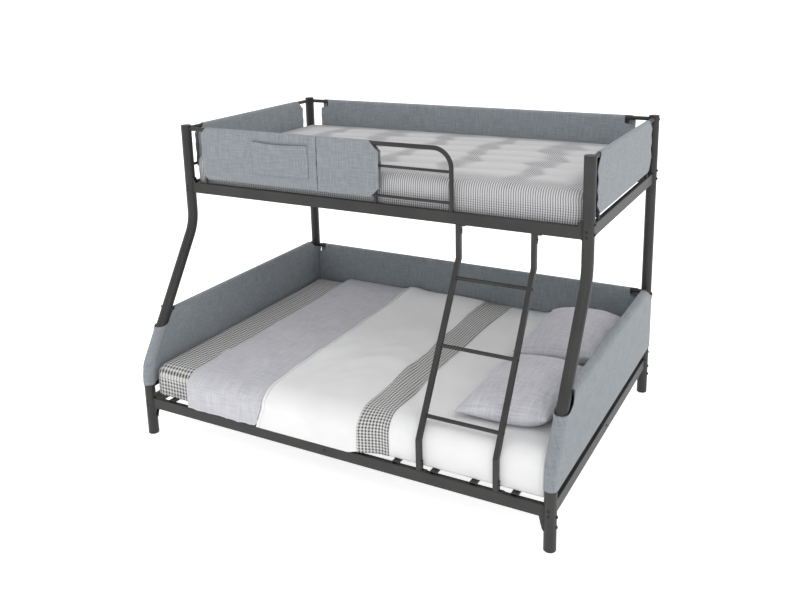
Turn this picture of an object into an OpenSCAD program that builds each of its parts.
// Twin over full metal bunk bed with a slanted ladder, fabric sleeve covers and made-up bedding.
// X runs along the bed, the ladder side faces -Y and Z is up. All sizes are in millimetres.
// The origin is on the floor, under the middle of the rectangle of the posts' feet.

/* [Overall] */
// Height of the post caps above the floor
overall_h = 1405; // [1400:5:1600]
// Top of the lower rails
lower_rail_top = 183; // [178:1:200]
// Height of the post caps above the upper rails
guard_rise = 274; // [270:1:290]
// Distance that a bunk's post centres stand apart beyond its mattress, along and across
mattress_gap = 40; // [39:1:60]

/* [Posts] */
// Outer diameter of a post
post_d = 48; // [46:1:50]
// Wall of a post
post_wall = 1.8; // [1.5:0.1:2.5]
// Centreline radius of the two bends in a front post
post_bend_r = 200; // [150:5:240]
// Height where the lower straight and the slant of a front post would meet
knee_z = 326; // [316:2:340]
// Depth under the upper rails' top where the slant and the upper straight would meet
hip_drop = 201; // [190:1:220]
// Visible height of a foot
foot_h = 8; // [6:1:12]
// Visible thickness of a top cap
cap_t = 3; // [2:0.5:5]
// Length of the plug on a foot
plug_len = 26; // [20:1:27]
// Length of the plug on a top cap
cap_plug_len = 9; // [6:1:9]

/* [Rails and slats] */
// Height of a rail tube
rail_h = 50; // [46:1:54]
// Thickness of a rail tube
rail_t = 22; // [20:1:24]
// Wall of a rail tube
rail_wall = 1.5; // [1.2:0.1:2]
// Corner radius of a rail tube
rail_edge_r = 3; // [2:0.5:5]
// Thickness of the curved saddle plates that seat on the posts
saddle_t = 3; // [2:0.5:4]
// Number of slats in each bunk
slat_count = 11; // [9:2:13]
// Distance from an end rail's middle to the middle of the first slat
slat_end_gap = 137; // [120:1:160]
// Width of a slat tube
slat_w = 28; // [24:1:34]
// Height of a slat tube
slat_h = 12; // [10:1:15]
// Wall of a slat tube
slat_wall = 1.2; // [1:0.1:1.5]
// Diameter of the centre leg
leg_d = 38; // [30:1:44]

/* [Ladder] */
// Place of the ladder's middle along the bed
ladder_x = 599; // [560:1:640]
// Distance between the ladder's rail centres
ladder_w = 322; // [300:2:340]
// Side of the square ladder tube
ladder_tube = 20; // [18:1:22]
// Height of the ladder's lower kink
ladder_knee_z = 311; // [310:1:330]
// Depth of the ladder's upper kink under the upper rails' top
ladder_hip_drop = 193; // [185:1:215]
// Diameter of a rung
rung_d = 16; // [14:1:18]
// Height of the lowest rung
first_rung_z = 393; // [380:1:410]
// Height from rung to rung, as a share of the height between the ladder's kinks
rung_share = 0.378; // [0.36:0.002:0.38]

/* [Guards] */
// Diameter of the guards' main tubes
guard_d = 19; // [18:1:22]
// Diameter of the guards' legs and verticals
guard_leg_d = 14; // [12:1:15]
// Diameter of the guards' thin bars
guard_bar_d = 12; // [10:1:13]
// Height of the upper guards' top tube below the post caps' top
upper_tube_drop = 17; // [15:1:22]
// Height of the upper guards' low bar above the upper rails
upper_bar_rise = 34; // [32:1:40]
// Height of the front guard's middle bar above the upper rails
mid_bar_rise = 163; // [150:1:175]
// Centreline radius of the front guard's bend
hoop_r = 80; // [60:2:100]
// Place of the front guard's bent end along the bed
hoop_x = 407; // [390:1:420]
// Place of the front guard's vertical along the bed
stile_x = 53; // [48:1:56]
// Distance from the left post to the front guard's left leg
left_leg_inset = 104; // [96:1:112]
// Centreline radius of the end guards' curved legs
end_leg_r = 75; // [60:1:80]
// Distance from a post to the foot of an end guard's curved leg
end_leg_inset = 122; // [112:1:130]
// Height of the end guards' top tube above the lower rails
lower_end_tube_rise = 366; // [356:1:376]
// Height of the end guards' low bar above the lower rails
lower_end_bar_rise = 49; // [48:1:56]
// Height of the back guard's top tube above the lower rails
lower_back_tube_rise = 347; // [340:1:356]
// Height of the back guard's low bar above the lower rails
lower_back_bar_rise = 34; // [30:1:40]

/* [Covers] */
// Thickness of the cover fabric
cloth_t = 2.5; // [2:0.5:3]
// Distance from a post to the end of the upper back cover
back_cover_inset = 88; // [80:1:96]
// Distance from a post to the end of the lower back cover
low_cover_inset = 30; // [29:1:40]
// Width of the notches in the back covers' bed side
back_notch_w = 46; // [36:1:52]
// Distance from a front post to the end of an upper end cover
end_cover_inset = 70; // [60:1:80]
// Place of the seam between the two front covers along the bed
seam_x = -240; // [-300:5:-200]
// Distance that the front cover runs past the front guard's vertical
cover_past_stile = 23; // [18:1:26]
// Height of the bottom edge of the lower end covers above the lower rails
end_cover_rise = 66; // [64:1:74]
// Width and height of the large cut corners
corner_cut = 46; // [30:1:50]
// Width of the small cut corners
small_cut = 28; // [20:1:34]
// Width of the pocket
pocket_w = 304; // [260:2:340]
// Height of the pocket
pocket_h = 150; // [120:2:170]
// Depth of the pocket's inside
pocket_depth = 12; // [8:1:16]

/* [Bedding] */
// Length of both mattresses
mattress_len = 1905; // [1880:1:1905]
// Width of the upper mattress
upper_mattress_w = 991; // [970:1:991]
// Height of the upper mattress at its edge
upper_mattress_h = 142; // [130:1:150]
// Width of the lower mattress
lower_mattress_w = 1372; // [1350:1:1372]
// Height of the lower mattress
lower_mattress_h = 140; // [130:1:150]
// Height of the lower mattress's upright side, below its round top edge
mattress_side_h = 88; // [80:1:89]
// Corner radius of the mattresses in plan
mattress_corner_r = 45; // [40:1:90]
// Thickness of the fitted sheet
sheet_t = 2.5; // [2:0.5:4]
// Thickness of the duvet over the mattress
duvet_t = 26; // [20:1:30]
// Thickness of the throw over the mattress
throw_t = 12; // [8:1:16]
// Length of a pillow across the bed
pillow_len = 570; // [540:5:590]
// Width of a pillow along the bed
pillow_w = 415; // [380:5:430]
// Height of a pillow's crown above its seam
pillow_crown = 62; // [50:1:70]

/* [Hidden] */
$fn = 48;

// Clearance between pieces that seat on each other
fit = 0.3;
// Overrun of every cut
over = 2;
// Clearance of a bolt in its hole, on the diameter
bolt_clear = 0.6;
// Bolts of the side rails
rail_bolt_d = 8;
rail_head_d = 14;
rail_head_h = 5;
rail_nut_w = 13;
rail_nut_h = 6.5;
// Bolts of the end rails, guards, ladder and beams
small_bolt_d = 6;
small_head_d = 11;
small_head_h = 3.5;
small_nut_w = 10;
small_nut_h = 5;
small_bolt_grip = 20;
// Socket in a bolt head, as shares of the head's diameter and height
socket_width_share = 0.42;
socket_depth_share = 0.55;
// Length of a bolt's end past its nut
bolt_tail = 3;
// Half of the angle that a saddle plate covers on its post
saddle_half_angle = 38;
// Height that an upper side saddle stands above its rail, and a lower one hangs below it
upper_saddle_rise = 22;
lower_saddle_drop = 52;
// Depth of the saddles' triangular flanges at the rail, and their plate thickness
flange_depth = 13;
flange_t = 3;
// Distance between the two bolts of an end rail
end_bolt_gap = 21;
// Height of the bolts from the rails' edges
lower_near_bolt = 8.5;
lower_far_bolt = 33;
upper_near_bolt = 22;
upper_far_bolt = 11;

// Depth of the upper slats' tops under the upper rails' tops, and the ledges that carry them
slat_sink = 14;
ledge_w = 14;
ledge_t = 3;
ledge_end_gap = 72;
// Clearance of a guard's leg in its slot in a cover
slot_clear = 6;

span_x = mattress_len + mattress_gap;
lower_span_y = lower_mattress_w + mattress_gap;
upper_span_y = upper_mattress_w + mattress_gap;
upper_rail_top = overall_h - guard_rise;
hip_z = upper_rail_top - hip_drop;
ladder_hip_z = upper_rail_top - ladder_hip_drop;
rung_pitch = rung_share * (ladder_hip_z - ladder_knee_z);
slat_pitch = (span_x - 2 * slat_end_gap) / (slat_count - 1);
post_r = post_d / 2;
post_bore = post_d - 2 * post_wall;
leg_bore = leg_d - 2 * post_wall;
post_x = span_x / 2;
back_y = lower_span_y / 2;
front_y = -lower_span_y / 2;
upper_front_y = back_y - upper_span_y;
slant_run = upper_front_y - front_y;
slant = atan2(slant_run, hip_z - knee_z);
bend_leg = post_bend_r * tan(slant / 2);
slant_len = norm([slant_run, hip_z - knee_z]) - 2 * bend_leg;
// How far a bend's ends are sunk into its straights, in degrees, and how much thinner it is there
bend_sink = 2;
bend_inset = 0.3;
post_top = overall_h - cap_t;
lower_rail_bottom = lower_rail_top - rail_h;
upper_rail_bottom = upper_rail_top - rail_h;

// Heights of the side rails' bolts, which run along X, and of the end rails', which run along Y
bolt_cross_gap = (rail_bolt_d + small_bolt_d) / 2 + bolt_clear + fit;
lower_near_z = lower_rail_bottom + lower_near_bolt;
upper_near_z = upper_rail_bottom + upper_near_bolt;
lower_side_bolt_z = [lower_near_z, lower_rail_bottom - lower_far_bolt];
upper_side_bolt_z = [upper_near_z, upper_rail_top + upper_far_bolt];
lower_end_bolt_z = [for (i = [0, 1]) lower_near_z + bolt_cross_gap + i * end_bolt_gap];
upper_end_bolt_z = [for (i = [0, 1]) upper_near_z - bolt_cross_gap + i * end_bolt_gap];

upper_tube_z = overall_h - upper_tube_drop;
upper_bar_z = upper_rail_top + upper_bar_rise;
mid_bar_z = upper_rail_top + mid_bar_rise;
end_tube_z = lower_rail_top + lower_end_tube_rise;
end_bar_z = lower_rail_top + lower_end_bar_rise;
back_tube_z = lower_rail_top + lower_back_tube_rise;
back_bar_z = lower_rail_top + lower_back_bar_rise;
back_guard_bolt_z = [back_bar_z, back_tube_z, upper_tube_z];
front_leg_x = -post_x + left_leg_inset;
back_leg_x = post_x - back_cover_inset - 2 * guard_d;
end_leg_straight = upper_bar_rise - 24 * guard_leg_d / 12;

// Inside half thickness and outside half thickness of a sleeve cover
sleeve_in = guard_d / 2 + 0.5 * cloth_t / 2.5;
sleeve_out = sleeve_in + cloth_t;
// Radii of a lower end cover round the posts
wrap_in = post_r + 0.5 * cloth_t / 2.5;
wrap_out = wrap_in + cloth_t;

// How far the outer panel of a lower end cover lies inside its wrap's outermost line
panel_inset = 0.4;
// The mouths of a lower end cover: round cuts at the front post and at the back post, with
// their radii and how far their centres lie above the guard's top tube and ahead of its end
mouth_r = 146;
mouth_up = 97;
mouth_ahead = 63;
back_mouth_r = 1.5 * post_d;
back_mouth_up = 44;

slat_z = [lower_rail_top + fit, upper_rail_top - slat_sink - slat_h];
lower_bed_z = slat_z[0] + slat_h + fit;
upper_bed_z = slat_z[1] + slat_h + fit;
sheet_top = lower_bed_z + lower_mattress_h + fit + sheet_t;

ladder_rail_x = [ladder_x - ladder_w / 2, ladder_x + ladder_w / 2];
ladder_slope = slant_run / (ladder_hip_z - ladder_knee_z);
ladder_angle = atan(ladder_slope);
rung_zs = [for (i = [0:2]) first_rung_z + i * rung_pitch];
bracket_t = 3;
bracket_w = 18;
bracket_h = 40;
bracket_foot = 22;
function rung_y(z) = front_y + (z - ladder_knee_z) * ladder_slope;

steel = "#4a4a48";
plastic = "#2b2b2b";
linen = "#9a9ea3";

// A rectangle with round corners, centred
module round_rect(w, h, r) {
    square([w - 2 * r, h], center = true);
    square([w, h - 2 * r], center = true);
    for (x = [-1, 1], y = [-1, 1])
        translate([x * (w / 2 - r), y * (h / 2 - r)]) circle(r);
}

// Extrudes a Y-Z profile along X from x0 to x1
module along_x(x0, x1) {
    translate([x0, 0, 0]) rotate([90, 0, 90]) linear_extrude(x1 - x0) children();
}

// Extrudes an X-Z profile along Y from y0 to y1
module along_y(y0, y1) {
    translate([0, y1, 0]) rotate([90, 0, 0]) linear_extrude(y1 - y0) children();
}

// A straight round bar from point a to point b
module bar(a, b, d) {
    v = b - a;
    tilt = acos(v[2] / norm(v));
    turn = atan2(v[1], v[0]);
    translate(a) rotate([0, tilt, turn]) cylinder(h = norm(v), d = d);
}

// A hole along X or Y through a place
module hole_x(x, y, z, d, len) {
    translate([x, y, z]) rotate([0, 90, 0]) cylinder(h = len, d = d, center = true);
}
module hole_y(x, y, z, d, len) {
    translate([x, y, z]) rotate([90, 0, 0]) cylinder(h = len, d = d, center = true);
}

// A domed bolt with a hexagon socket: the head stands up from the origin, the shank hangs down
module bolt(d, head_d, head_h, len) {
    dome_r = (head_h * head_h + head_d * head_d / 4) / (2 * head_h);
    difference() {
        rotate_extrude() intersection() {
            translate([0, head_h - dome_r]) circle(dome_r);
            square([head_d / 2, head_h]);
        }
        translate([0, 0, head_h * (1 - socket_depth_share)])
            cylinder(h = head_h, d = head_d * socket_width_share, $fn = 6);
    }
    translate([0, 0, -len]) cylinder(h = len, d = d);
}

// One bend of a front post, whose ends are sunk a little into the straights beside it
module post_bend(r) {
    rotate([0, 0, -bend_sink]) rotate_extrude(angle = slant + 2 * bend_sink)
        translate([post_bend_r, 0]) circle(r - bend_inset);
}

// The bent column of a front post with radius r, from height z0 to height z1
module front_post_column(r, z0, z1) {
    translate([0, front_y, z0]) cylinder(h = knee_z - bend_leg - z0, r = r);
    translate([0, front_y + post_bend_r, knee_z - bend_leg]) rotate([90, 0, -90]) post_bend(r);
    translate([0, front_y + bend_leg * sin(slant), knee_z + bend_leg * cos(slant)])
        rotate([-slant, 0, 0]) cylinder(h = slant_len, r = r);
    if (z1 > hip_z) {
        translate([0, upper_front_y - post_bend_r, hip_z + bend_leg]) rotate([-90, 0, 90])
            post_bend(r);
        translate([0, upper_front_y, hip_z + bend_leg])
            cylinder(h = z1 - hip_z - bend_leg, r = r);
    }
}

// Holes for the rails' bolts in a post
module post_rail_holes(y_low, y_top) {
    for (z = lower_side_bolt_z) hole_x(0, y_low, z, rail_bolt_d + bolt_clear, post_d + over);
    for (z = upper_side_bolt_z) hole_x(0, y_top, z, rail_bolt_d + bolt_clear, post_d + over);
    for (z = lower_end_bolt_z) hole_y(0, y_low, z, small_bolt_d + bolt_clear, post_d + over);
    for (z = upper_end_bolt_z) hole_y(0, y_top, z, small_bolt_d + bolt_clear, post_d + over);
}

module front_post(side) {
    color(steel) translate([side * post_x, 0, 0]) difference() {
        front_post_column(post_r, foot_h, post_top);
        translate([0, front_y, foot_h - over])
            cylinder(h = knee_z - bend_leg - foot_h, d = post_bore);
        translate([0, upper_front_y, hip_z + bend_leg + over])
            cylinder(h = post_top - hip_z - bend_leg, d = post_bore);
        post_rail_holes(front_y, upper_front_y);
    }
}

module back_post(side) {
    color(steel) translate([side * post_x, 0, 0]) difference() {
        translate([0, back_y, foot_h]) cylinder(h = post_top - foot_h, d = post_d);
        translate([0, back_y, foot_h - over])
            cylinder(h = post_top - foot_h + 2 * over, d = post_bore);
        post_rail_holes(back_y, back_y);
        for (z = back_guard_bolt_z) hole_x(0, back_y, z, small_bolt_d + bolt_clear, post_d + over);
    }
}

// A plug with a rim: the rim lies below the origin and the plug stands in the tube above it
module plug(rim_d, rim_h, plug_d, len) {
    edge = rim_h / 4;
    rotate_extrude() polygon([
        [0, -rim_h], [rim_d / 2 - edge, -rim_h], [rim_d / 2, -rim_h + edge], [rim_d / 2, -fit],
        [plug_d / 2, -fit], [plug_d / 2, len], [0, len]
    ]);
    for (z = [0.35, 0.7])
        translate([0, 0, len * z]) rotate_extrude() translate([plug_d / 2 - fit, 0]) circle(fit);
}

module post_foot(side, y) {
    color(plastic) translate([side * post_x, y, foot_h])
        plug(post_d, foot_h, post_bore - 4 * fit, plug_len);
}

module post_caps() {
    color(plastic) for (side = [-1, 1], y = [upper_front_y, back_y])
        translate([side * post_x, y, post_top]) mirror([0, 0, 1])
            plug(post_d, cap_t, post_bore - 4 * fit, cap_plug_len);
}

// A plate that hugs the post at the origin on its +X side, from z0 to z1
module saddle(z0, z1) {
    seat = post_r + fit;
    reach = seat + saddle_t;
    half_w = reach * sin(saddle_half_angle);
    translate([0, 0, z0]) difference() {
        intersection() {
            cylinder(h = z1 - z0, r = reach);
            translate([reach * cos(saddle_half_angle) - saddle_t, -half_w, 0])
                cube([reach, 2 * half_w, z1 - z0]);
        }
        translate([0, 0, -over]) cylinder(h = z1 - z0 + 2 * over, r = seat);
    }
}

// One end of a side rail, seated on the post at the origin and running along +X to x = half
module side_rail_end(half, top, level) {
    seat = post_r + fit;
    z0 = level == "lower" ? top - rail_h - lower_saddle_drop : top - rail_h;
    z1 = level == "lower" ? top : top + upper_saddle_rise;
    bolt_zs = level == "lower" ? lower_side_bolt_z : upper_side_bolt_z;
    flange_x = seat + saddle_t;
    flange_end = flange_x + flange_depth;
    sunk = 2 * rail_edge_r;
    flange = level == "lower"
        ? [[seat, top - rail_h + sunk], [flange_end, top - rail_h + sunk],
           [flange_end, top - rail_h], [flange_x, z0], [seat, z0]]
        : [[seat, top - sunk], [seat, z1], [flange_x, z1], [flange_end, top],
           [flange_end, top - sunk]];
    difference() {
        union() {
            difference() {
                translate([0, 0, top - rail_h / 2]) along_x(0, half)
                    round_rect(rail_t, rail_h, rail_edge_r);
                translate([0, 0, top - rail_h / 2]) along_x(-over, half + over)
                    square([rail_t - 2 * rail_wall, rail_h - 2 * rail_wall], center = true);
                cylinder(h = top + over, r = seat + saddle_t / 2);
            }
            saddle(z0, z1);
            for (s = [-1, 1]) difference() {
                translate([0, s * (rail_t - flange_t) / 2, 0]) along_y(-flange_t / 2, flange_t / 2)
                    polygon(flange);
                translate([0, 0, z0 - over]) cylinder(h = z1 - z0 + 2 * over, r = seat + saddle_t / 2);
            }
        }
        for (z = bolt_zs) hole_x(seat, 0, z, rail_bolt_d + bolt_clear, 4 * saddle_t);
    }
}

// The ledge under the upper slats' ends, welded to the +Y face of a rail that lies at y = 0
module slat_ledge() {
    sunk = rail_wall / 2;
    half = post_x - ledge_end_gap;
    translate([-half, rail_t / 2 - sunk, slat_z[1] - fit - ledge_t])
        cube([2 * half, ledge_w + sunk, ledge_t]);
}

// Holes in the front rails for the ladder's brackets are drilled from their faces
module side_rail(y, top, level) {
    color(steel) translate([0, y, 0]) difference() {
        union() {
            for (side = [0, 1]) mirror([side, 0, 0])
                translate([-post_x, 0, 0]) side_rail_end(post_x, top, level);
            if (level == "upper") mirror([0, y > 0 ? 1 : 0, 0]) slat_ledge();
        }
        if (level == "lower") hole_y(0, 0, top - rail_h / 2, small_bolt_d + bolt_clear, rail_t + over);
        if (y < 0) for (x = ladder_rail_x)
            translate([x + ladder_tube / 2 + fit + bracket_foot * 0.6, 0,
                       level == "lower" ? top - small_bolt_grip : top - rail_h - over])
                cylinder(h = small_bolt_grip + over, d = small_bolt_d + bolt_clear);
    }
}

module end_rail(side, y0, top, level) {
    seat = post_r + fit;
    bolt_zs = level == "lower" ? lower_end_bolt_z : upper_end_bolt_z;
    half = (back_y - y0) / 2;
    color(steel) translate([side * post_x, 0, 0]) difference() {
        for (s = [0, 1]) translate([0, y0 + half, 0]) mirror([0, s, 0]) translate([0, -half, 0])
            rotate([0, 0, 90]) difference() {
                union() {
                    difference() {
                        translate([0, 0, top - rail_h / 2]) along_x(0, half)
                            round_rect(rail_t, rail_h, rail_edge_r);
                        translate([0, 0, top - rail_h / 2]) along_x(-over, half + over)
                            square([rail_t - 2 * rail_wall, rail_h - 2 * rail_wall], center = true);
                        cylinder(h = top + over, r = seat + saddle_t / 2);
                    }
                    saddle(top - rail_h, top);
                }
                for (z = bolt_zs) hole_x(seat, 0, z, small_bolt_d + bolt_clear, 4 * saddle_t);
            }
        if (level == "lower") hole_x(0, 0, top - rail_h / 2, small_bolt_d + bolt_clear, rail_t + over);
    }
}

// A rail tube from x0 to x1 at the lower rails' height, closed by drilled end plates
module beam(x0, x1) {
    z = lower_rail_top - rail_h / 2;
    difference() {
        translate([0, 0, z]) along_x(x0, x1) round_rect(rail_t, rail_h, rail_edge_r);
        translate([0, 0, z]) along_x(x0 + saddle_t, x1 - saddle_t)
            square([rail_t - 2 * rail_wall, rail_h - 2 * rail_wall], center = true);
        for (x = [x0, x1]) hole_x(x, 0, z, small_bolt_d + bolt_clear, 4 * saddle_t);
    }
}

module centre_beam() {
    end = post_x - rail_t / 2 - fit;
    color(steel) beam(-end, end);
}

module cross_bars() {
    color(steel) for (s = [-1, 1]) rotate([0, 0, s * 90])
        beam(rail_t / 2 + fit, back_y - rail_t / 2 - fit);
}

module centre_leg() {
    len = lower_rail_bottom - fit - foot_h;
    color(steel) difference() {
        translate([0, 0, foot_h]) cylinder(h = len, d = leg_d);
        translate([0, 0, foot_h - over]) cylinder(h = len + 2 * over, d = leg_bore);
    }
}

module centre_foot() {
    color(plastic) translate([0, 0, foot_h]) plug(leg_d, foot_h, leg_bore - 4 * fit, plug_len);
}

// Slats from y0 to y1: the lower ones lie on the rails' tops, the upper ones on ledges
module slats(z, y0, y1) {
    color(steel) for (i = [0:slat_count - 1])
        translate([(i - (slat_count - 1) / 2) * slat_pitch, 0, z + slat_h / 2])
            along_y(y0, y1) difference() {
                round_rect(slat_w, slat_h, slat_h / 6);
                square([slat_w - 2 * slat_wall, slat_h - 2 * slat_wall], center = true);
            }
}

// A square ladder tube: upright, slanted, upright, with mitred kinks
module ladder_rail(x) {
    h = ladder_tube / 2;
    m = h * tan(ladder_angle / 2);
    z0 = lower_rail_top + fit;
    z1 = upper_rail_bottom - fit;
    color(steel) difference() {
        along_x(x - h, x + h) polygon([
            [front_y - h, z0], [front_y - h, ladder_knee_z + m],
            [upper_front_y - h, ladder_hip_z + m], [upper_front_y - h, z1],
            [upper_front_y + h, z1], [upper_front_y + h, ladder_hip_z - m],
            [front_y + h, ladder_knee_z - m], [front_y + h, z0]
        ]);
        for (z = rung_zs) hole_x(x, rung_y(z), z, small_bolt_d + bolt_clear, ladder_tube + over);
        hole_x(x + h, front_y, z0 + bracket_h * 0.6, small_bolt_d + bolt_clear, ladder_tube);
        hole_x(x + h, upper_front_y, z1 - bracket_h * 0.6, small_bolt_d + bolt_clear, ladder_tube);
    }
}

module ladder_rung(z) {
    x0 = ladder_rail_x[0] + ladder_tube / 2 + fit;
    x1 = ladder_rail_x[1] - ladder_tube / 2 - fit;
    color(steel) difference() {
        bar([x0, rung_y(z), z], [x1, rung_y(z), z], rung_d);
        for (x = [x0, x1]) hole_x(x, rung_y(z), z, small_bolt_d + bolt_clear, 2 * small_bolt_grip);
    }
}

// An angle bracket beside a ladder rail, standing on a rail at the origin
module ladder_bracket() {
    difference() {
        union() {
            translate([0, -bracket_w / 2, 0]) cube([bracket_t, bracket_w, bracket_h]);
            translate([0, -bracket_w / 2, 0]) cube([bracket_foot, bracket_w, bracket_t]);
        }
        hole_x(0, 0, bracket_h * 0.6, small_bolt_d + bolt_clear, 4 * bracket_t);
        translate([bracket_foot * 0.6, 0, -over])
            cylinder(h = bracket_t + 2 * over, d = small_bolt_d + bolt_clear);
    }
}

module ladder_brackets() {
    color(steel) for (x = ladder_rail_x) translate([x + ladder_tube / 2 + fit, 0, 0]) {
        translate([0, front_y, lower_rail_top + fit]) ladder_bracket();
        translate([0, upper_front_y, upper_rail_bottom - fit]) mirror([0, 0, 1]) ladder_bracket();
    }
}

// A quarter-bent leg: from the rail at y0, up and over to the post at y1 = the origin's axis
module curved_leg() {
    foot_y = end_leg_inset;
    z0 = upper_rail_top + fit;
    bend_z = upper_rail_top + end_leg_straight;
    translate([0, foot_y, z0]) cylinder(h = bend_z - z0, d = guard_leg_d);
    translate([0, foot_y - end_leg_r, bend_z]) rotate([90, 0, 90])
        rotate_extrude(angle = 90) translate([end_leg_r, 0]) circle(d = guard_leg_d);
    bar([0, 0, bend_z + end_leg_r], [0, foot_y - end_leg_r, bend_z + end_leg_r], guard_leg_d);
}

// The posts' columns, which trim the tubes that meet them
module post_columns(seat) {
    for (s = [-1, 1]) {
        translate([s * post_x, back_y, 0]) cylinder(h = overall_h, r = seat);
        translate([s * post_x, upper_front_y, hip_z]) cylinder(h = overall_h - hip_z, r = seat);
        translate([s * post_x, front_y, 0]) cylinder(h = knee_z, r = seat);
        translate([s * post_x, front_y, knee_z]) rotate([-slant, 0, 0])
            cylinder(h = slant_len, r = seat);
    }
}

// Evenly spaced verticals between two heights
module spindles(count, y0, y1, z0, z1) {
    for (i = [1:count])
        translate([0, y0 + (y1 - y0) * i / (count + 1), z0]) cylinder(h = z1 - z0, d = guard_bar_d);
}

module upper_end_guard(side) {
    y0 = upper_front_y + end_leg_inset;
    y1 = back_y - end_leg_inset;
    color(steel) difference() {
        translate([side * post_x, 0, 0]) {
            bar([0, upper_front_y, upper_tube_z], [0, back_y, upper_tube_z], guard_d);
            bar([0, y0, upper_bar_z], [0, y1, upper_bar_z], guard_bar_d);
            translate([0, upper_front_y, 0]) curved_leg();
            translate([0, back_y, 0]) mirror([0, 1, 0]) curved_leg();
            spindles(3, y0, y1, upper_bar_z, upper_tube_z);
        }
        post_columns(post_r + fit);
    }
}

// A guard that runs along X at the origin's line, with legs or bolted bars
module back_guard(tube_z, bar_z, count, has_legs) {
    bar_x = has_legs ? back_leg_x : post_x;
    color(steel) difference() {
        translate([0, back_y, 0]) {
            bar([-post_x, 0, tube_z], [post_x, 0, tube_z], guard_d);
            bar([-bar_x, 0, bar_z], [bar_x, 0, bar_z], has_legs ? guard_bar_d : guard_d);
            if (has_legs) for (s = [-1, 1])
                bar([s * back_leg_x, 0, upper_rail_top + fit], [s * back_leg_x, 0, tube_z],
                    guard_leg_d);
            rotate([0, 0, -90]) spindles(count, -back_leg_x, back_leg_x, bar_z, tube_z);
        }
        post_columns(post_r + fit);
        for (s = [-1, 1]) {
            hole_x(s * post_x, back_y, tube_z, small_bolt_d + bolt_clear,
                   post_d + 2 * small_bolt_grip);
            if (!has_legs) hole_x(s * post_x, back_y, bar_z, small_bolt_d + bolt_clear,
                                  post_d + 2 * small_bolt_grip);
        }
    }
}

// The front guard: one long tube from the left post, bent down to the rail beside the ladder
module upper_front_guard() {
    foot = upper_rail_top + fit;
    bend_z = upper_tube_z - hoop_r;
    color(steel) difference() {
        translate([0, upper_front_y, 0]) {
            bar([-post_x, 0, upper_tube_z], [hoop_x - hoop_r, 0, upper_tube_z], guard_d);
            translate([hoop_x - hoop_r, 0, bend_z]) rotate([90, 0, 0])
                rotate_extrude(angle = 90) translate([hoop_r, 0]) circle(d = guard_d);
            bar([hoop_x, 0, foot], [hoop_x, 0, bend_z], guard_d);
            for (x = [front_leg_x, stile_x])
                bar([x, 0, foot], [x, 0, upper_tube_z], guard_leg_d);
            bar([front_leg_x, 0, upper_bar_z], [hoop_x, 0, upper_bar_z], guard_bar_d);
            bar([stile_x, 0, mid_bar_z], [hoop_x, 0, mid_bar_z], guard_bar_d);
            rotate([0, 0, -90])
                spindles(4, front_leg_x, stile_x, upper_bar_z, upper_tube_z);
        }
        post_columns(post_r + fit);
    }
}

// A lower end guard: its top tube meets the slant of the front post
module lower_end_guard(side) {
    slant_y = front_y + (end_tube_z - knee_z) * tan(slant);
    color(steel) difference() {
        translate([side * post_x, 0, 0]) {
            bar([0, slant_y, end_tube_z], [0, back_y, end_tube_z], guard_d);
            bar([0, front_y, end_bar_z], [0, back_y, end_bar_z], guard_d);
            spindles(6, slant_y, back_y, end_bar_z, end_tube_z);
        }
        post_columns(post_r + fit);
    }
}

// The round-topped and round-bottomed outline of a sleeve, around the tube and the bar
module sleeve_outline(half, tube_z, bar_z) {
    translate([-half, bar_z]) square([2 * half, tube_z - bar_z]);
    translate([0, tube_z]) circle(half);
    translate([0, bar_z]) circle(half);
}

// A corner cut through both layers of a sleeve, at (x, z), towards (dx, dz)
module corner_wedge(x, z, w, h, dx, dz) {
    along_y(-sleeve_out - over, sleeve_out + over) polygon([
        [x + dx * over, z + dz * over], [x - dx * w, z + dz * over], [x - dx * w, z],
        [x, z - dz * h], [x + dx * over, z - dz * h]
    ]);
}

// A flat sleeve from x0 to x1 round a top tube and a low bar, with cut corners
module sleeve(x0, x1, tube_z, bar_z, cut0, cut1) {
    top = tube_z + sleeve_out;
    bottom = bar_z - sleeve_out;
    difference() {
        along_x(x0, x1) difference() {
            sleeve_outline(sleeve_out, tube_z, bar_z);
            sleeve_outline(sleeve_in, tube_z, bar_z);
        }
        if (cut0 > 0) {
            corner_wedge(x0, top, cut0, cut0, -1, 1);
            corner_wedge(x0, bottom, cut0, cut0, -1, -1);
        }
        if (cut1 > 0) {
            corner_wedge(x1, top, cut1, cut1, 1, 1);
            corner_wedge(x1, bottom, cut1, cut1, 1, -1);
        }
    }
}

// The slot in a sleeve's underside where a guard's leg comes out at x
module leg_slot(x, bar_z) {
    half = guard_leg_d / 2 + slot_clear;
    translate([x - half, -sleeve_out - over, bar_z - sleeve_out - over])
        cube([2 * half, 2 * (sleeve_out + over), sleeve_out + over]);
}

module upper_end_cover(side) {
    color(linen) translate([side * post_x, 0, 0]) rotate([0, 0, 90]) difference() {
        sleeve(upper_front_y + end_cover_inset, back_y - back_cover_inset,
               upper_tube_z, upper_bar_z, corner_cut, corner_cut);
        for (y = [upper_front_y + end_leg_inset, back_y - end_leg_inset])
            leg_slot(y, upper_bar_z);
    }
}

// A back cover: small cuts through both layers, and a notch in the bed side's layer
module back_cover(tube_z, bar_z, inset, has_legs) {
    end = post_x - inset;
    color(linen) translate([0, back_y, 0]) difference() {
        sleeve(-end, end, tube_z, bar_z, small_cut / 2, small_cut / 2);
        for (s = [0, 1]) mirror([s, 0, 0]) {
            translate([end - back_notch_w, -sleeve_out - over, tube_z + sleeve_out - corner_cut])
                cube([back_notch_w + over, sleeve_out + over, corner_cut + over]);
            if (has_legs) leg_slot(back_leg_x, bar_z);
        }
    }
}

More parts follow.
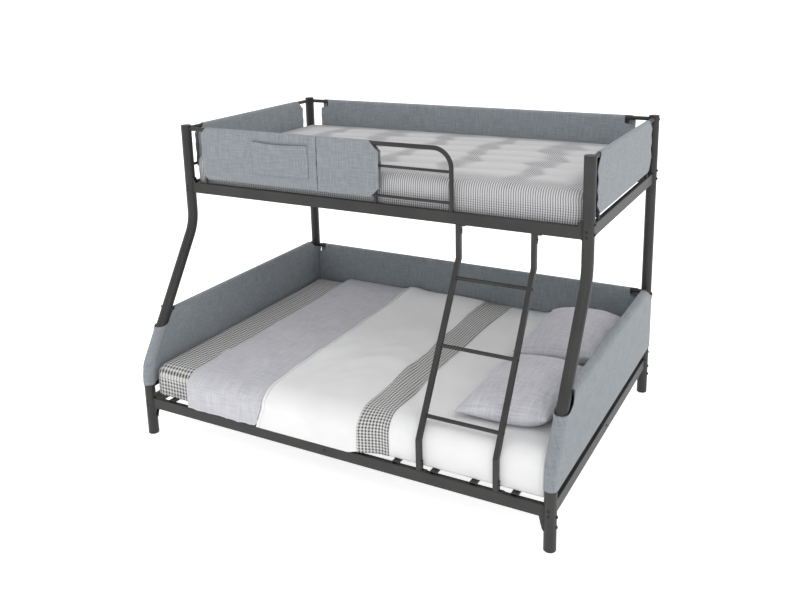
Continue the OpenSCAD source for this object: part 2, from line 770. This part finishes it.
module front_pocket_cover() {
    color(linen) translate([0, upper_front_y, 0])
        sleeve(front_leg_x - guard_leg_d / 2, seam_x - fit, upper_tube_z, upper_bar_z, small_cut, 0);
}

module front_plain_cover() {
    color(linen) translate([0, upper_front_y, 0])
        sleeve(seam_x + fit, stile_x + cover_past_stile, upper_tube_z, upper_bar_z, 0, corner_cut);
}

// The pocket: a flat bag sewn on the front cover, open at its top
module pocket() {
    wall = cloth_t;
    depth = pocket_depth + wall;
    z1 = upper_tube_z - corner_cut * 0.72;
    z0 = z1 - pocket_h;
    x1 = seam_x - corner_cut;
    x0 = x1 - pocket_w;
    y1 = upper_front_y - sleeve_out - fit;
    color(linen) difference() {
        along_z_bag(x0, x1, y1 - depth, y1, z0, z1);
        translate([x0 + wall, y1 - depth + wall, z0 + wall])
            cube([pocket_w - 2 * wall, depth, pocket_h]);
    }
}

// The outside of the pocket: a slab with round outer edges
module along_z_bag(x0, x1, y0, y1, z0, z1) {
    r = (y1 - y0) / 3;
    translate([0, 0, z0]) linear_extrude(z1 - z0) {
        translate([x0, y0 + r]) square([x1 - x0, y1 - y0 - r]);
        translate([x0 + r, y0]) square([x1 - x0 - 2 * r, r]);
        for (x = [x0 + r, x1 - r]) translate([x, y0 + r]) circle(r);
    }
}

// The side view of a lower end cover: its front edge follows the front post's centreline
module end_cover_side(z0) {
    mid = post_bend_r * (1 - cos(slant / 2));
    polygon([
        [front_y, z0], [back_y, z0], [back_y, overall_h],
        [front_y + (overall_h - knee_z) * tan(slant), overall_h],
        [front_y + bend_leg * sin(slant), knee_z + bend_leg * cos(slant)],
        [front_y + mid, knee_z - bend_leg + post_bend_r * sin(slant / 2)],
        [front_y, knee_z - bend_leg]
    ]);
}

// The body of a lower end cover: flat beside the bed, out past the posts on the outside, and
// round both posts. Its radii are those of the wrap round the posts and round the guard's tube.
module end_cover_body(wrap_r, sleeve_r, z0) {
    outside = wrap_r - panel_inset;
    intersection() {
        along_y(front_y, back_y) {
            translate([-sleeve_r, z0]) square([sleeve_r, end_tube_z - z0]);
            translate([0, z0]) square([outside, end_tube_z + sleeve_r - outside - z0]);
            translate([0, end_tube_z]) intersection() {
                circle(sleeve_r);
                translate([-sleeve_r, 0]) square(sleeve_r);
            }
            translate([0, end_tube_z + sleeve_r - outside]) intersection() {
                circle(outside);
                square(outside);
            }
        }
        along_x(-2 * wrap_r, 2 * wrap_r) end_cover_side(z0);
    }
    translate([0, back_y, z0]) cylinder(h = end_tube_z - z0, r = wrap_r);
    intersection() {
        front_post_column(wrap_r, z0, knee_z);
        translate([-2 * wrap_r, front_y - 2 * wrap_r, z0])
            cube([4 * wrap_r, lower_span_y, end_tube_z - z0]);
    }
}

// A lower end cover: wraps both posts of its end, with a mouth where each post comes out
module lower_end_cover(side) {
    bottom = lower_rail_top + end_cover_rise;
    mouth_y = front_y + (end_tube_z - knee_z) * tan(slant) - mouth_ahead;
    color(linen) translate([side * post_x, 0, 0]) mirror([side < 0 ? 1 : 0, 0, 0]) difference() {
        end_cover_body(wrap_out, sleeve_out, bottom);
        end_cover_body(wrap_in, sleeve_in, bottom - over);
        hole_x(0, mouth_y, end_tube_z + mouth_up, 2 * mouth_r, 4 * wrap_out);
        hole_x(0, back_y, end_tube_z + back_mouth_up, 2 * back_mouth_r, 4 * wrap_out);
    }
}

// Bolts that hold the side rails: along X, heads outside
module side_rail_bolts() {
    len = post_d + 3 * fit + saddle_t + rail_nut_h + bolt_tail;
    color(plastic) for (s = [0, 1]) mirror([s, 0, 0]) {
        for (y = [front_y, back_y], z = lower_side_bolt_z) side_bolt(y, z, len);
        for (y = [upper_front_y, back_y], z = upper_side_bolt_z) side_bolt(y, z, len);
    }
}
module side_bolt(y, z, len) {
    translate([post_x + post_r + fit, y, z]) rotate([0, 90, 0])
        bolt(rail_bolt_d, rail_head_d, rail_head_h, len);
}

// A hexagon nut standing on the origin, threaded on a bolt along +Z
module nut(d, w, h) {
    difference() {
        rotate([0, 0, 30]) cylinder(h = h, d = w / cos(30), $fn = 6);
        translate([0, 0, -over]) cylinder(h = h + 2 * over, d = d + bolt_clear);
    }
}

// Nuts behind the saddles, inside the rails' ends
module rail_nuts() {
    seat = post_r + fit + saddle_t + fit;
    color(plastic) for (s = [0, 1]) mirror([s, 0, 0]) {
        for (y = [front_y, back_y], z = lower_side_bolt_z)
            translate([post_x - seat, y, z]) rotate([0, -90, 0])
                nut(rail_bolt_d, rail_nut_w, rail_nut_h);
        for (y = [upper_front_y, back_y], z = upper_side_bolt_z)
            translate([post_x - seat, y, z]) rotate([0, -90, 0])
                nut(rail_bolt_d, rail_nut_w, rail_nut_h);
        for (z = lower_end_bolt_z) translate([post_x, front_y + seat, z]) rotate([-90, 0, 0])
            nut(small_bolt_d, small_nut_w, small_nut_h);
        for (z = upper_end_bolt_z) translate([post_x, upper_front_y + seat, z]) rotate([-90, 0, 0])
            nut(small_bolt_d, small_nut_w, small_nut_h);
        for (z = concat(lower_end_bolt_z, upper_end_bolt_z))
            translate([post_x, back_y - seat, z]) rotate([90, 0, 0])
                nut(small_bolt_d, small_nut_w, small_nut_h);
    }
}

// Bolts of the end rails: along Y, heads on the front and back faces of the posts
module end_rail_bolts() {
    len = post_d + 3 * fit + saddle_t + small_nut_h + bolt_tail;
    color(plastic) for (side = [-1, 1]) {
        for (z = lower_end_bolt_z) translate([side * post_x, front_y - post_r - fit, z])
            rotate([90, 0, 0]) bolt(small_bolt_d, small_head_d, small_head_h, len);
        for (z = upper_end_bolt_z) translate([side * post_x, upper_front_y - post_r - fit, z])
            rotate([90, 0, 0]) bolt(small_bolt_d, small_head_d, small_head_h, len);
        for (z = concat(lower_end_bolt_z, upper_end_bolt_z))
            translate([side * post_x, back_y + post_r + fit, z])
                rotate([-90, 0, 0]) bolt(small_bolt_d, small_head_d, small_head_h, len);
    }
}

module guard_bolts() {
    color(plastic) for (s = [0, 1], z = back_guard_bolt_z) mirror([s, 0, 0])
        translate([post_x + post_r + fit, back_y, z]) rotate([0, 90, 0])
            bolt(small_bolt_d, small_head_d, small_head_h, post_d + 0.8 * small_bolt_grip);
}

module ladder_bolts() {
    out = ladder_tube / 2 + fit;
    color(plastic) {
        for (z = rung_zs, s = [0, 1])
            translate([ladder_rail_x[s] + (2 * s - 1) * out, rung_y(z), z])
                rotate([0, (2 * s - 1) * 90, 0])
                    bolt(small_bolt_d, small_head_d, small_head_h, ladder_tube + 0.7 * small_bolt_grip);
        for (x = ladder_rail_x) {
            for (p = [[front_y, lower_rail_top + fit + 0.6 * bracket_h],
                      [upper_front_y, upper_rail_bottom - fit - 0.6 * bracket_h]])
                translate([x + out + bracket_t + fit, p[0], p[1]]) rotate([0, 90, 0])
                    bolt(small_bolt_d, small_head_d, small_head_h, ladder_tube / 2);
            translate([x + out + 0.6 * bracket_foot, front_y,
                       lower_rail_top + fit + bracket_t + fit])
                bolt(small_bolt_d, small_head_d, small_head_h, 0.8 * small_bolt_grip);
            translate([x + out + 0.6 * bracket_foot, upper_front_y,
                       upper_rail_bottom - fit - bracket_t - fit]) mirror([0, 0, 1])
                bolt(small_bolt_d, small_head_d, small_head_h, 0.8 * small_bolt_grip);
        }
    }
}

module beam_bolts() {
    z = lower_rail_top - rail_h / 2;
    len = rail_t + 0.8 * small_bolt_grip;
    color(plastic) {
        for (s = [-1, 1]) translate([s * (post_x + rail_t / 2 + fit), 0, z]) rotate([0, s * 90, 0])
            bolt(small_bolt_d, small_head_d, small_head_h, len);
        for (s = [-1, 1]) translate([0, s * (back_y + rail_t / 2 + fit), z]) rotate([-s * 90, 0, 0])
            bolt(small_bolt_d, small_head_d, small_head_h, len);
    }
}

// Closes two grids of points, an outer one and an inner one, into a solid.
// Rows run along +X, columns along +Y, and the outer grid lies above the inner one.
module two_skins(outer, inner) {
    nu = len(outer);
    nv = len(outer[0]);
    n = nu * nv;
    points = concat([for (row = outer, p = row) p], [for (row = inner, p = row) p]);
    faces = [
        for (i = [0:nu - 2], j = [0:nv - 2], k = [0:3])
            let (a = i * nv + j, b = a + 1, c = a + nv, d = c + 1)
            k == 0 ? [a, b, d] : k == 1 ? [a, d, c]
            : k == 2 ? [n + a, n + d, n + b] : [n + a, n + c, n + d],
        for (i = [0:nu - 2], k = [0:3])
            let (a = i * nv, c = a + nv, e = a + nv - 1, f = c + nv - 1)
            k == 0 ? [a, c, n + c] : k == 1 ? [a, n + c, n + a]
            : k == 2 ? [e, n + f, f] : [e, n + e, n + f],
        for (j = [0:nv - 2], k = [0:3])
            let (a = j, b = j + 1, e = (nu - 1) * nv + j, f = e + 1)
            k == 0 ? [b, a, n + a] : k == 1 ? [b, n + a, n + b]
            : k == 2 ? [f, n + e, e] : [f, n + f, n + e]
    ];
    polyhedron(points, faces);
}

// Moves a point of a rectangle's corner square onto the corner's arc
function round_corner(x, y, hx, hy, r) =
    let (dx = abs(x) - (hx - r), dy = abs(y) - (hy - r))
    (dx <= 0 || dy <= 0) ? [x, y]
    : let (k = max(dx, dy) / norm([dx, dy]))
      [sign(x) * (hx - r + dx * k), sign(y) * (hy - r + dy * k)];

// The upper mattress: crowned top with sewn tufts, rolled edges and flat underside
tuft_columns = 8;
tuft_rows = 5;
steps_per_tuft = 3;
rows_per_tuft = 4;
tuft_depth = 9;
mattress_crown = 16;
mattress_roll = 36;
mattress_base_roll = 14;
roll_line_shares = [0, 0.12, 0.42];
function mattress_lines(half, cells, roll) = concat(
    [for (share = roll_line_shares) -half + roll * share],
    [for (i = [0:cells]) (i / cells * 2 - 1) * (half - roll)],
    [for (i = [1:3]) half - roll * roll_line_shares[3 - i]]);
function mattress_top(x, y, hx, hy) =
    let (b = min(hx - abs(x), hy - abs(y)),
         roll = b >= mattress_roll ? 0
              : mattress_roll - sqrt(max(0, pow(mattress_roll, 2) - pow(mattress_roll - b, 2))),
         u = (x / (hx - mattress_roll) + 1) / 2 * tuft_columns,
         v = (y / (hy - mattress_roll) + 1) / 2 * tuft_rows,
         tuft = pow(cos(180 * u) * cos(180 * v), 2),
         rise = (1 - pow(x / hx, 4)) * (1 - pow(y / hy, 4)))
    mattress_crown * rise - roll - (b > mattress_roll / 2 ? tuft_depth * tuft * rise : 0);

module upper_mattress() {
    hx = mattress_len / 2;
    hy = upper_mattress_w / 2;
    yc = back_y - upper_span_y / 2;
    xs = mattress_lines(hx, tuft_columns * steps_per_tuft, mattress_roll);
    ys = mattress_lines(hy, tuft_rows * rows_per_tuft, mattress_roll);
    nu = len(xs);
    nv = len(ys);
    grid = [for (x = xs, y = ys)
        let (p = round_corner(x, y, hx, hy, mattress_corner_r))
        [p[0], yc + p[1], upper_bed_z + upper_mattress_h + mattress_top(x, y, hx, hy)]];
    rim = concat([for (i = [0:nu - 1]) i * nv], [for (j = [1:nv - 1]) (nu - 1) * nv + j],
                 [for (i = [1:nu - 1]) (nu - 1 - i) * nv + nv - 1],
                 [for (j = [1:nv - 2]) nv - 1 - j]);
    m = len(rim);
    n = nu * nv;
    low = [for (k = rim) [grid[k][0], grid[k][1], upper_bed_z + mattress_base_roll]];
    base = [for (k = rim) [grid[k][0] * (1 - mattress_base_roll / hx),
                           yc + (grid[k][1] - yc) * (1 - mattress_base_roll / hy), upper_bed_z]];
    color("#d9d9d9") polyhedron(
        concat(grid, low, base, [[0, yc, upper_bed_z]]),
        [
            for (i = [0:nu - 2], j = [0:nv - 2], k = [0:1])
                let (a = i * nv + j, b = a + 1, c = a + nv, d = c + 1)
                k == 0 ? [a, b, d] : [a, d, c],
            for (i = [0:m - 1], k = [0:4])
                let (j = (i + 1) % m, p = rim[i], q = rim[j], s = n + i, t = n + j)
                k == 0 ? [p, q, t] : k == 1 ? [p, t, s]
                : k == 2 ? [s, t, t + m] : k == 3 ? [s, t + m, s + m] : [s + m, t + m, n + 2 * m]
        ]);
}

// How far the round edges' arcs lie outside the pad's plan, which cuts them
edge_ease = 0.4;
lower_edge_r = lower_mattress_h - mattress_side_h;

// The side view of a pad with round top edges and sides that stand clear of its plan
module pad_side(half, z0, top, r) {
    side = half + edge_ease;
    translate([-side, z0]) square([2 * side, top - r - z0]);
    translate([r - side, z0]) square([2 * (side - r), top - z0]);
    for (s = [-1, 1]) translate([s * (side - r), top - r]) circle(r);
}

// The lower mattress's shape, grown by g, from height z0 up
module lower_pad(g, z0) {
    hx = mattress_len / 2 + g;
    hy = lower_mattress_w / 2 + g;
    top = lower_bed_z + lower_mattress_h + g;
    intersection() {
        translate([0, 0, z0]) linear_extrude(top + over - z0)
            round_rect(2 * hx, 2 * hy, mattress_corner_r + g);
        along_x(-hx - over, hx + over) pad_side(hy, z0 - over, top, lower_edge_r + g);
        along_y(-hy - over, hy + over) pad_side(hx, z0 - over, top, lower_edge_r + g);
    }
}

module lower_mattress() {
    color("#e0e0e0") lower_pad(0, lower_bed_z);
}

module fitted_sheet() {
    color("#bdbbb6") difference() {
        lower_pad(fit + sheet_t, lower_bed_z);
        lower_pad(fit, lower_bed_z - over);
    }
}

// Bedding that lies on the sheet and hangs down its front. Each row of points runs from the
// front hem, up and over the edge, to the back.
bed_front = -(lower_mattress_w / 2 + fit + sheet_t + edge_ease + fit);
bed_back = -bed_front - 2 * fit;
drape_turn = lower_edge_r + fit + sheet_t + fit;
turn_steps = 5;
turn_half_step = 45 / turn_steps;
// How much the turn's radius grows through a piece, as a share of its thickness
turn_share = 0.9;
hang_steps = 4;
top_steps = 12;
hem_clear = 3.5;
hem_drop = 13;
// Places along the bed where the bedding's pieces meet
throw_left_x = -728;
throw_right_x = -322;
duvet_left_x = -320;
runner_left_x = 130;
runner_right_x = 280;
duvet_right_x = mattress_len / 2 - 8.5;
pillow_zone_x = 400;
runner_t = 3;
drop_t = 4.5;
rail_front = front_y - rail_t / 2;

function smooth(t) = let (c = min(1, max(0, t))) c * c * (3 - 2 * c);
// How far the cloth hangs in front of the rail: 1 in front of it, 0 behind its face
function bulge(x) = 1 - smooth((x - runner_left_x) / (runner_right_x - runner_left_x) * 1.25);
// The inner face's y of the hanging part, and the hem's height, at x
function hang_y(x) = bed_front - bulge(x) * (bed_front - rail_front + hem_clear);
function hem_z(x) = lower_bed_z + hem_clear
    - smooth((runner_left_x + 20 * slat_h / 12 - x) / (2 * slat_w)) * hem_drop;
// Soft waves of the cloth
function waves(x, y, amp) =
    amp * (sin(x * 1.1 + y * 0.35) * sin(y * 0.55 + 40) + 0.5 * sin(x * 0.45 - y * 0.8 + 70));

// A row's inner points as [y, z], from hem to back. Its turn runs just outside its arc.
function inner_row(x, z_top) =
    let (yh = hang_y(x), zh = hem_z(x), yc = bed_front + drape_turn, zc = z_top - drape_turn,
         grow = 1 / cos(turn_half_step))
    concat(
        [for (i = [0:hang_steps - 1]) [yh, zh + (zc - zh) * i / hang_steps]],
        [for (i = [0:turn_steps - 1]) let (a = turn_half_step * (2 * i + 1))
            [yc - (yc - yh) * grow * cos(a), zc + drape_turn * grow * sin(a)]],
        [for (i = [1:top_steps]) [yc + (bed_back - yc) * i / top_steps, z_top]]);

// The matching outer points: the drop is thin, the top is thick and crowned
function outer_row(x, z_top, thick, amp, drop) =
    let (yh = hang_y(x) - drop, zh = hem_z(x), r = drape_turn + turn_share * thick,
         yc = bed_front - drop + r, zc = z_top + thick - r,
         out = amp * (1 + sin(x * 2.3)) / 2)
    concat(
        [for (i = [0:hang_steps - 1]) let (t = i / hang_steps) [yh - out * t, zh + (zc - zh) * t]],
        [for (i = [0:turn_steps - 1]) let (a = turn_half_step * (2 * i + 1))
            [yc - (yc - yh + out) * cos(a), zc + r * sin(a)]],
        [for (i = [1:top_steps])
            let (t = i / top_steps, y = yc + (bed_back - yc) * t,
                 fade = i < top_steps ? min(1, 4 * t) : 0,
                 end = i < top_steps ? 0 : thick * 0.6)
            [y, z_top + thick + fade * waves(x, y, amp) - end]]);

module drape(xs, z_top, thick, amp, drop) {
    last = len(xs) - 1;
    outer = [for (x = xs) let (a = x > pillow_zone_x ? 0 : amp)
        [for (p = outer_row(x, z_top, thick, a, drop)) [x, p[0], p[1]]]];
    inner = [for (x = xs) [for (p = inner_row(x, z_top)) [x, p[0], p[1]]]];
    two_skins(outer, inner);
}

function span(a, b, n) = [for (i = [0:n]) a + (b - a) * i / n];
runner_xs = span(runner_left_x, runner_right_x, 5);
duvet_xs = concat(span(duvet_left_x, runner_left_x, 9), [for (i = [1:5]) runner_xs[i]],
                  [for (i = [1:9]) runner_right_x + (duvet_right_x - runner_right_x) * i / 9]);

module throw_blanket() {
    color("#b9b9c0") drape(span(throw_left_x, throw_right_x, 11), sheet_top + fit, throw_t, 4, drop_t);
}

module duvet() {
    color("#e8e8e8") drape(duvet_xs, sheet_top + fit, duvet_t, 3, drop_t);
}

// The patterned runner lies on the duvet and follows its surface
module bed_runner() {
    rows = [for (x = runner_xs) [for (p = outer_row(x, sheet_top + fit, duvet_t, 3, drop_t)) [x, p[0], p[1]]]];
    lift = 0.5;
    n = len(rows[0]);
    color("#8d8d8d") two_skins(
        [for (row = rows) [for (j = [0:n - 1]) raised(row, j, lift + runner_t)]],
        [for (row = rows) [for (j = [0:n - 1]) raised(row, j, lift)]]);
}

// A point of a row moved out along the row's own normal
function raised(row, j, h) =
    let (n = len(row), a = row[max(0, j - 1)], b = row[min(n - 1, j + 1)],
         t = b - a, m = [0, -t[2], t[1]] / norm([t[1], t[2]]))
    row[j] + m * h;

// A pillow: flat where it lies, crowned above, with pointed corners and a seam round its edge
pillow_cells_x = 16;
pillow_cells_y = 20;
pillow_seam = 4;
pillow_seam_rise = 34;
pillow_tilt_rise = 26;
pillow_front_y = -298;
pillow_back_y = 322;
pillow_x = mattress_len / 2 - 33 - pillow_w / 2;
function pillow_bulge(u, v) = pow(max(0, (1 - pow(u, 4)) * (1 - pow(v, 4))), 0.5);
function pillow_xy(u, v) =
    [pillow_w / 2 * u * (0.94 + 0.06 * v * v), pillow_len / 2 * v * (0.95 + 0.05 * u * u)];

module pillow(x, y) {
    z0 = sheet_top + fit + duvet_t + fit;
    us = [for (i = [0:pillow_cells_x]) sin(90 * (2 * i / pillow_cells_x - 1))];
    vs = [for (j = [0:pillow_cells_y]) sin(90 * (2 * j / pillow_cells_y - 1))];
    outer = [for (u = us) [for (v = vs)
        let (p = pillow_xy(u, v), seam = pillow_seam_rise + pillow_tilt_rise * (u + 1) / 2)
        [x + p[0], y + p[1], z0 + seam + pillow_seam / 2 + pillow_crown * pillow_bulge(u, v)]]];
    inner = [for (u = us) [for (v = vs)
        let (p = pillow_xy(u, v), seam = pillow_seam_rise + pillow_tilt_rise * (u + 1) / 2)
        [x + p[0], y + p[1],
         z0 + (seam - pillow_seam / 2) * max(0, 1 - 1.6 * pillow_bulge(u, v))]]];
    color("#b4b4ba") two_skins(outer, inner);
}

front_post(-1);  // post_front_left
front_post(1);  // post_front_right
back_post(-1);  // post_back_left
back_post(1);  // post_back_right
post_foot(-1, front_y);  // foot_front_left
post_foot(1, front_y);  // foot_front_right
post_foot(-1, back_y);  // foot_back_left
post_foot(1, back_y);  // foot_back_right
post_caps();
side_rail(upper_front_y, upper_rail_top, "upper");  // upper_front_rail
side_rail(back_y, upper_rail_top, "upper");  // upper_back_rail
side_rail(front_y, lower_rail_top, "lower");  // lower_front_rail
side_rail(back_y, lower_rail_top, "lower");  // lower_back_rail
end_rail(-1, upper_front_y, upper_rail_top, "upper");  // upper_left_rail
end_rail(1, upper_front_y, upper_rail_top, "upper");  // upper_right_rail
end_rail(-1, front_y, lower_rail_top, "lower");  // lower_left_rail
end_rail(1, front_y, lower_rail_top, "lower");  // lower_right_rail
centre_beam();
cross_bars();
centre_leg();
centre_foot();
slats(slat_z[1], upper_front_y + rail_t / 2 + fit, back_y - rail_t / 2 - fit);  // upper_slats
slats(slat_z[0], front_y - rail_t / 2, back_y + rail_t / 2);  // lower_slats
ladder_rail(ladder_rail_x[0]);  // ladder_left_rail
ladder_rail(ladder_rail_x[1]);  // ladder_right_rail
ladder_rung(rung_zs[0]);  // ladder_rung_low
ladder_rung(rung_zs[1]);  // ladder_rung_middle
ladder_rung(rung_zs[2]);  // ladder_rung_high
ladder_brackets();
upper_end_guard(-1);  // upper_left_guard
upper_end_guard(1);  // upper_right_guard
back_guard(upper_tube_z, upper_bar_z, 8, true);  // upper_back_guard
upper_front_guard();
lower_end_guard(-1);  // lower_left_guard
lower_end_guard(1);  // lower_right_guard
back_guard(back_tube_z, back_bar_z, 8, false);  // lower_back_guard
upper_end_cover(-1);  // upper_left_cover
upper_end_cover(1);  // upper_right_cover
back_cover(upper_tube_z, upper_bar_z, back_cover_inset, true);  // upper_back_cover
front_pocket_cover();
front_plain_cover();
pocket();
lower_end_cover(-1);  // lower_left_cover
lower_end_cover(1);  // lower_right_cover
back_cover(back_tube_z, back_bar_z, low_cover_inset, false);  // lower_back_cover
side_rail_bolts();
end_rail_bolts();
rail_nuts();
guard_bolts();
ladder_bolts();
beam_bolts();
upper_mattress();
lower_mattress();
fitted_sheet();
throw_blanket();
duvet();
bed_runner();
pillow(pillow_x, pillow_front_y);  // pillow_front
pillow(pillow_x, pillow_back_y);  // pillow_back
